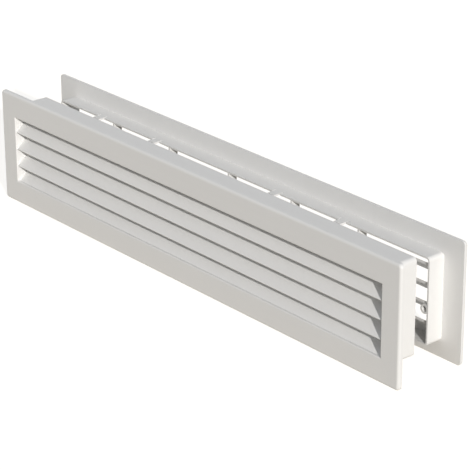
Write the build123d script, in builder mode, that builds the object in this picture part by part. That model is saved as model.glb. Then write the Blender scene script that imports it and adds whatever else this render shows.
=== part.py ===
from build123d import *
import os

# A two-part ventilation grille for a door, all sizes in millimetres.
# It stands on Z = 0, X along its length, Y through the door, with the middle between the halves at Y = 0.
# Each half is one moulding. Depths count inwards from its own outer face.

# Face plate, the same on both halves
face_length = 457.0
face_height = 92.0
face_thickness = 3.5
face_corner_radius = 3.0
face_rim_radius = 2.1
opening_rim_radius = 0.8

# Collar of the front half, which lines the cut-out in the door
wall = 1.4
collar_end_inset = 16.4
collar_inset_below = 10.4
collar_inset_above = 8.6
front_collar_depth = 30.5
collar_corner_radius = 3.0

# Collar of the rear half, which slides into the front one
side_clearance = 0.8
top_clearance = 3.9
bottom_clearance = 0.6
rear_collar_depth = 17.2

# How far the halves close, and how far apart they stand
plate_gap = 1.0
rib_gap = 0.6
travel = 27.0

# Opening in the plate, and the slats that fill it. They rise inwards from a narrow nose.
# The lowest nose is hidden below the opening, and the opening's top hangs a little below an even pitch.
border_below = 18.8
border_above = 19.2
slat_count = 4
slat_below_opening = 2.3
lintel_drop = 0.9
slat_rise = 14.0
slat_depth = 15.5
slat_end_height = 2.2
nose_height = 1.2
nose_setback = 1.0
nose_radius = 0.4

# Ribs that tie the slats together, across the inside of each collar
rib_count = 5
rib_pitch = 70.0
rib_thickness = 1.4
rib_start = 9.6

# Screw bosses beside the collar's end walls
boss_from_wall = 4.7
boss_height = 39.5
boss_radius = 3.6
web_thickness = 1.4
pilot_radius = 1.4
pilot_depth = 7.0
screw_hole_radius = 2.2

# Tongues on the rear collar's edge, each between two slits
tongue_from_rib = 16.3
tongue_width = 7.0
tongue_reach = 5.0
slit_width = 1.0
slit_depth = 3.5

# Sizes that follow from those above
front_collar_length = face_length - 2 * collar_end_inset
front_collar_low = collar_inset_below
front_collar_high = face_height - collar_inset_above
front_inner_length = front_collar_length - 2 * wall
rear_collar_length = front_inner_length - 2 * side_clearance
rear_collar_low = front_collar_low + wall + bottom_clearance
rear_collar_high = front_collar_high - wall - top_clearance
closed_spread = front_collar_depth + face_thickness + plate_gap
front_rib_depth = closed_spread - rear_collar_depth - rib_gap
spread = closed_spread + travel
opening_top = face_height - border_above
lowest_slat = border_below - slat_below_opening
slat_pitch = (opening_top + lintel_drop - lowest_slat) / slat_count
boss_x = front_inner_length / 2 - boss_from_wall
rib_positions = [(i - (rib_count - 1) / 2) * rib_pitch for i in range(rib_count)]

# The outer faces: X along the face, Y up it and Z inwards
front_face = Plane((0, -spread / 2, 0), x_dir=(-1, 0, 0), z_dir=(0, 1, 0))
rear_face = Plane((0, spread / 2, 0), x_dir=(1, 0, 0), z_dir=(0, -1, 0))


def grille_half(face, collar_length, collar_low, collar_high, collar_depth, rib_depth):
    """One moulding without its bosses: face plate, collar, slats and ribs."""
    section = Plane(face.origin, x_dir=face.z_dir, z_dir=-face.x_dir)
    inner_length = collar_length - 2 * wall
    inner_height = collar_high - collar_low - 2 * wall
    collar_middle = (collar_low + collar_high) / 2

    with BuildPart() as half:
        # Face plate with its rounded outer rim
        with BuildSketch(face):
            with Locations((0, face_height / 2)):
                RectangleRounded(face_length, face_height, face_corner_radius)
        extrude(amount=face_thickness)
        outer_face = half.faces().sort_by(Axis(face.origin, face.z_dir))[0]
        fillet(outer_face.outer_wire().edges(), face_rim_radius)

        # Collar
        with BuildSketch(face.offset(face_thickness)):
            with Locations((0, collar_middle)):
                RectangleRounded(collar_length, collar_high - collar_low, collar_corner_radius)
                RectangleRounded(
                    inner_length, inner_height, collar_corner_radius - wall, mode=Mode.SUBTRACT
                )
        extrude(amount=collar_depth - face_thickness)

        # Opening, as long as the collar is inside, with a rounded front rim
        with BuildSketch(face):
            with Locations((0, (border_below + opening_top) / 2)):
                Rectangle(inner_length, opening_top - border_below)
        extrude(amount=face_thickness, mode=Mode.SUBTRACT)
        outer_face = half.faces().sort_by(Axis(face.origin, face.z_dir))[0]
        fillet(outer_face.inner_wires()[0].edges(), opening_rim_radius)

        # Slats, let into the collar's end walls
        for i in range(slat_count):
            low = lowest_slat + i * slat_pitch
            high = low + slat_rise
            with BuildSketch(section) as slat:
                with BuildLine():
                    Polyline(
                        (nose_setback, low),
                        (slat_depth, high - slat_end_height),
                        (slat_depth, high),
                        (nose_setback, low + nose_height),
                        close=True,
                    )
                make_face()
                fillet(slat.vertices().group_by(Axis.X)[0], nose_radius)
            extrude(amount=(inner_length + wall) / 2, both=True)

        # Ribs between and behind the slats, from the collar's floor to its roof
        with BuildSketch(face.offset(rib_start)):
            with Locations(*[(x, collar_middle) for x in rib_positions]):
                Rectangle(rib_thickness, inner_height + wall)
        extrude(amount=rib_depth - rib_start)
    return half.part


# Front half
with BuildPart() as front_grille:
    add(
        grille_half(
            front_face,
            front_collar_length,
            front_collar_low,
            front_collar_high,
            front_collar_depth,
            front_rib_depth,
        )
    )

    # Blind screw bosses, each on a web from the collar's end wall
    with BuildSketch(front_face.offset(rib_start)):
        with Locations((-boss_x, boss_height), (boss_x, boss_height)):
            Circle(boss_radius)
        for side in (-1, 1):
            with Locations((side * (front_inner_length / 2 - boss_from_wall / 2), boss_height)):
                Rectangle(boss_from_wall + wall, web_thickness)
    extrude(amount=front_rib_depth - rib_start)
    with BuildSketch(front_face.offset(front_rib_depth)):
        with Locations((-boss_x, boss_height), (boss_x, boss_height)):
            Circle(pilot_radius)
    extrude(amount=-pilot_depth, mode=Mode.SUBTRACT)

# Rear half
with BuildPart() as rear_grille:
    add(
        grille_half(
            rear_face,
            rear_collar_length,
            rear_collar_low,
            rear_collar_high,
            rear_collar_depth,
            rear_collar_depth,
        )
    )

    # Screw bosses, drilled right through to the outer face
    with BuildSketch(rear_face):
        with Locations((-boss_x, boss_height), (boss_x, boss_height)):
            Circle(boss_radius)
    extrude(amount=rear_collar_depth)
    with BuildSketch(rear_face):
        with Locations((-boss_x, boss_height), (boss_x, boss_height)):
            Circle(screw_hole_radius)
    extrude(amount=rear_collar_depth, mode=Mode.SUBTRACT)

    # Tongues that lead into the front collar, beside every rib but the middle one
    collar_edge = rear_face.offset(rear_collar_depth)
    tongue_positions = [x - tongue_from_rib for x in rib_positions if x != 0]
    wall_middles = (rear_collar_low + wall / 2, rear_collar_high - wall / 2)
    slit_offset = (tongue_width + slit_width) / 2
    with BuildSketch(collar_edge):
        with Locations(*[(x, z) for x in tongue_positions for z in wall_middles]):
            Rectangle(tongue_width, wall)
    extrude(amount=tongue_reach)
    with BuildSketch(collar_edge):
        for shift in (-slit_offset, slit_offset):
            with Locations(*[(x + shift, z) for x in tongue_positions for z in wall_middles]):
                Rectangle(slit_width, wall)
    extrude(amount=-slit_depth, mode=Mode.SUBTRACT)

front_grille.part.label = "front_grille"
rear_grille.part.label = "rear_grille"
os.makedirs("parts", exist_ok=True)
export_step(front_grille.part, "parts/front_grille.step")
export_step(rear_grille.part, "parts/rear_grille.step")
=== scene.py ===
import math

import bpy
from mathutils import Matrix, Vector

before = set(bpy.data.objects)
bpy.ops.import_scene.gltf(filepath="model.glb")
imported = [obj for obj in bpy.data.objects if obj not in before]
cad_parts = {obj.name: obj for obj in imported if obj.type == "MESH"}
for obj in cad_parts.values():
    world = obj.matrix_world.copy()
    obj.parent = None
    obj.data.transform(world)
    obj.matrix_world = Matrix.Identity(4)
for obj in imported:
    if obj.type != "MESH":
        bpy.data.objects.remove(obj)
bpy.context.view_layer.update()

# Distances are in metres and angles in degrees.
# The plastic: its whites, and the relief of its grain, waves and the sink lines over evenly spaced ribs
PLASTIC_DARK = (0.812, 0.808, 0.795, 1.0)
PLASTIC_LIGHT = (0.850, 0.847, 0.836, 1.0)
PLASTIC_SPECK = (0.790, 0.786, 0.772, 1.0)
SPECK_AMOUNT = 0.25
GRAIN_RELIEF = 0.000012
WAVE_RELIEF = 0.00010
SINK_RELIEF = 0.00002
SINK_WIDTH = 0.0022
RIB_PITCH = 0.07

# The floor, whose glow brings it up to the photograph's white where the camera sees it
FLOOR_HALF = 6.0
FLOOR_COLOR = (0.53, 0.48, 0.40, 1.0)
FLOOR_GLOW = 0.80

# The photograph is a square of this many pixels, and the camera was fitted to the grille's corners in it
PHOTO_PIXELS = 470.0
FOCAL_PIXELS = 2150.0
SENSOR_WIDTH = 36.0
CAMERA_AZIMUTH = 50.09
CAMERA_ELEVATION = 23.062
CAMERA_ROLL = -0.32
CAMERA_SHIFT = (0.0002, -0.0030)
CAMERA_TARGET = (0.03698, -0.0110, 0.04719)
CAMERA_DISTANCE = 1.5543

# The sun's place and strength, and the pale blue sky
SUN_AZIMUTH = 66.0
SUN_ELEVATION = 21.0
SUN_ENERGY = 2.76
SUN_WIDTH = 1.2
SUN_COLOR = (1.0, 0.975, 0.945)
SKY_COLOR = (0.90, 0.94, 1.0, 1.0)
SKY_STRENGTH = 0.315
WHITE = (1.0, 1.0, 1.0, 1.0)

# Node outputs by number: of Light Path, of Texture Coordinate and of Mix
CAMERA_RAY, GLOSSY_RAY, TRANSMISSION_RAY = 0, 3, 6
OBJECT_PLACE = 3
MIXED_COLOR = 2


class Wire:
    """A shader socket that takes part in arithmetic: each operator adds a Math node."""

    def __init__(self, nodes, links, socket):
        self.nodes = nodes
        self.links = links
        self.socket = socket

    def math(self, operation, *others):
        node = self.nodes.new("ShaderNodeMath")
        node.operation = operation
        for slot, value in zip(node.inputs, (self,) + others):
            if isinstance(value, Wire):
                self.links.new(value.socket, slot)
            else:
                slot.default_value = value
        return Wire(self.nodes, self.links, node.outputs[0])

    def __add__(self, other):
        return self.math("ADD", other)

    __radd__ = __add__

    def __mul__(self, other):
        return self.math("MULTIPLY", other)

    __rmul__ = __mul__

    def __sub__(self, other):
        return self.math("SUBTRACT", other)

    def __rsub__(self, other):
        return (self * -1.0).math("ADD", other)

    def __truediv__(self, other):
        return self.math("DIVIDE", other)

    def clamp(self, low, high):
        return self.math("MAXIMUM", low).math("MINIMUM", high)

    def near(self, other, width):
        """1 where this is within width of the other, with a soft edge."""
        return (1.0 - (self - other).math("ABSOLUTE") / width).clamp(0.0, 1.0)


class Finish:
    """A material's node tree."""

    def __init__(self, name):
        self.material = bpy.data.materials.new(name)
        self.material.use_nodes = True
        self.tree = self.material.node_tree
        self.tree.nodes.clear()

    def add(self, kind, settings=None, **sockets):
        """Adds a node: its settings first, then its sockets by name, with _ for a space."""
        node = self.tree.nodes.new(kind)
        for key, value in (settings or {}).items():
            setattr(node, key, value)
        for key, value in sockets.items():
            slot = next(s for s in node.inputs if s.enabled and s.name == key.replace("_", " "))
            if isinstance(value, Wire):
                self.tree.links.new(value.socket, slot)
            else:
                slot.default_value = value
        return node

    def wire(self, node, output=0):
        return Wire(self.tree.nodes, self.tree.links, node.outputs[output])

    def noise(self, place, scale, detail=2.0, roughness=0.5):
        """Noise in object space: scale is in features per metre."""
        return self.wire(
            self.add("ShaderNodeTexNoise", Vector=place, Scale=scale, Detail=detail, Roughness=roughness)
        )

    def tint(self, amount, first, second):
        """The first colour, taken towards the second by the amount."""
        mix = self.add("ShaderNodeMix", {"data_type": "RGBA"}, Factor=amount, A=first, B=second)
        return self.wire(mix, MIXED_COLOR)

    def finish(self, shader):
        """Makes this shader the material's surface."""
        output = self.add("ShaderNodeOutputMaterial")
        self.tree.links.new(shader.outputs[0], output.inputs["Surface"])
        return self.material


def moulded_white(name):
    """White moulded plastic: satin, with a spark-eroded grain, slow waves and sink lines over the ribs."""
    f = Finish(name)
    place = f.wire(f.add("ShaderNodeTexCoord"), OBJECT_PLACE)
    along = f.wire(f.add("ShaderNodeSeparateXYZ", Vector=place))

    cloud = f.noise(place, 9.0, 3.0)
    speck = f.noise(place, 420.0)
    color = f.tint(cloud, PLASTIC_DARK, PLASTIC_LIGHT)
    color = f.tint(speck * SPECK_AMOUNT, color, PLASTIC_SPECK)

    grain = f.noise(place, 2600.0, roughness=0.6)
    wave = f.noise(place, 22.0, 1.0)
    nearest_rib = (along / RIB_PITCH).math("ROUND") * RIB_PITCH
    sink = along.near(nearest_rib, SINK_WIDTH)
    height = grain * GRAIN_RELIEF + wave * WAVE_RELIEF - sink * SINK_RELIEF
    bump = f.add("ShaderNodeBump", Strength=0.6, Distance=1.0, Height=height)
    rough = 0.36 + 0.08 * cloud + 0.06 * grain

    shader = f.add("ShaderNodeBsdfPrincipled", Base_Color=color, Roughness=rough, IOR=1.5)
    f.tree.links.new(bump.outputs[0], shader.inputs["Normal"])
    return f.finish(shader)


def pale_floor(name):
    """Pale sheet that the camera sees as the plain white background, with the grille's soft shadow on it."""
    f = Finish(name)
    path = f.add("ShaderNodeLightPath")
    seen = (f.wire(path, CAMERA_RAY) + f.wire(path, GLOSSY_RAY)).clamp(0.0, 1.0)
    matt = f.add("ShaderNodeBsdfDiffuse", Color=FLOOR_COLOR)
    glow = f.add("ShaderNodeEmission", Color=WHITE, Strength=seen * FLOOR_GLOW)
    both = f.add("ShaderNodeAddShader")
    f.tree.links.new(matt.outputs[0], both.inputs[0])
    f.tree.links.new(glow.outputs[0], both.inputs[1])
    return f.finish(both)


def add_floor():
    mesh = bpy.data.meshes.new("floor")
    corners = [(x * FLOOR_HALF, y * FLOOR_HALF, 0) for x, y in ((-1, -1), (1, -1), (1, 1), (-1, 1))]
    mesh.from_pydata(corners, [], [(0, 1, 2, 3)])
    mesh.materials.append(pale_floor("floor_white"))
    floor = bpy.data.objects.new("floor", mesh)
    bpy.context.scene.collection.objects.link(floor)


def direction(azimuth, elevation):
    """Unit vector from the object towards a place seen at that azimuth and elevation."""
    a, e = math.radians(azimuth), math.radians(elevation)
    return Vector((math.sin(a) * math.cos(e), -math.cos(a) * math.cos(e), math.sin(e)))


def add_camera():
    """Camera at the photograph's place, for a square frame."""
    back = direction(CAMERA_AZIMUTH, CAMERA_ELEVATION)
    right = Vector((0, 0, 1)).cross(back).normalized()
    up = back.cross(right)
    roll = math.radians(CAMERA_ROLL)
    tilted_right = right * math.cos(roll) + up * math.sin(roll)
    tilted_up = up * math.cos(roll) - right * math.sin(roll)
    data = bpy.data.cameras.new("camera")
    data.sensor_width = SENSOR_WIDTH
    data.lens = FOCAL_PIXELS / PHOTO_PIXELS * SENSOR_WIDTH
    data.shift_x, data.shift_y = CAMERA_SHIFT
    camera = bpy.data.objects.new("camera", data)
    turn = Matrix((tilted_right, tilted_up, back)).transposed().to_4x4()
    eye = Vector(CAMERA_TARGET) + back * CAMERA_DISTANCE
    camera.matrix_world = Matrix.Translation(eye) @ turn
    bpy.context.scene.collection.objects.link(camera)
    bpy.context.scene.camera = camera


def add_sun():
    """Low warm sun from beyond the right end."""
    data = bpy.data.lights.new("sun", "SUN")
    data.energy = SUN_ENERGY
    data.angle = math.radians(SUN_WIDTH)
    data.color = SUN_COLOR
    sun = bpy.data.objects.new("sun", data)
    sun.rotation_euler = direction(SUN_AZIMUTH, SUN_ELEVATION).to_track_quat("Z", "Y").to_euler()
    bpy.context.scene.collection.objects.link(sun)


def add_sky():
    """Pale blue sky that the camera sees as white, also in reflections and through clear things."""
    world = bpy.data.worlds.new("sky")
    bpy.context.scene.world = world
    world.use_nodes = True
    nodes, links = world.node_tree.nodes, world.node_tree.links
    nodes.clear()
    path = nodes.new("ShaderNodeLightPath")
    camera, glossy, through = (
        Wire(nodes, links, path.outputs[ray]) for ray in (CAMERA_RAY, GLOSSY_RAY, TRANSMISSION_RAY)
    )
    seen = (camera + glossy + through).clamp(0.0, 1.0)
    mix = nodes.new("ShaderNodeMixShader")
    links.new(seen.socket, mix.inputs[0])
    for slot, color, strength in ((1, SKY_COLOR, SKY_STRENGTH), (2, WHITE, 1.0)):
        background = nodes.new("ShaderNodeBackground")
        background.inputs["Color"].default_value = color
        background.inputs["Strength"].default_value = strength
        links.new(background.outputs[0], mix.inputs[slot])
    output = nodes.new("ShaderNodeOutputWorld")
    links.new(mix.outputs[0], output.inputs["Surface"])


add_camera()
add_sun()
add_sky()
add_floor()

plastic = moulded_white("white_plastic")
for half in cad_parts.values():
    half.data.materials.clear()
    half.data.materials.append(plastic)

bpy.context.scene.view_settings.view_transform = "Standard"
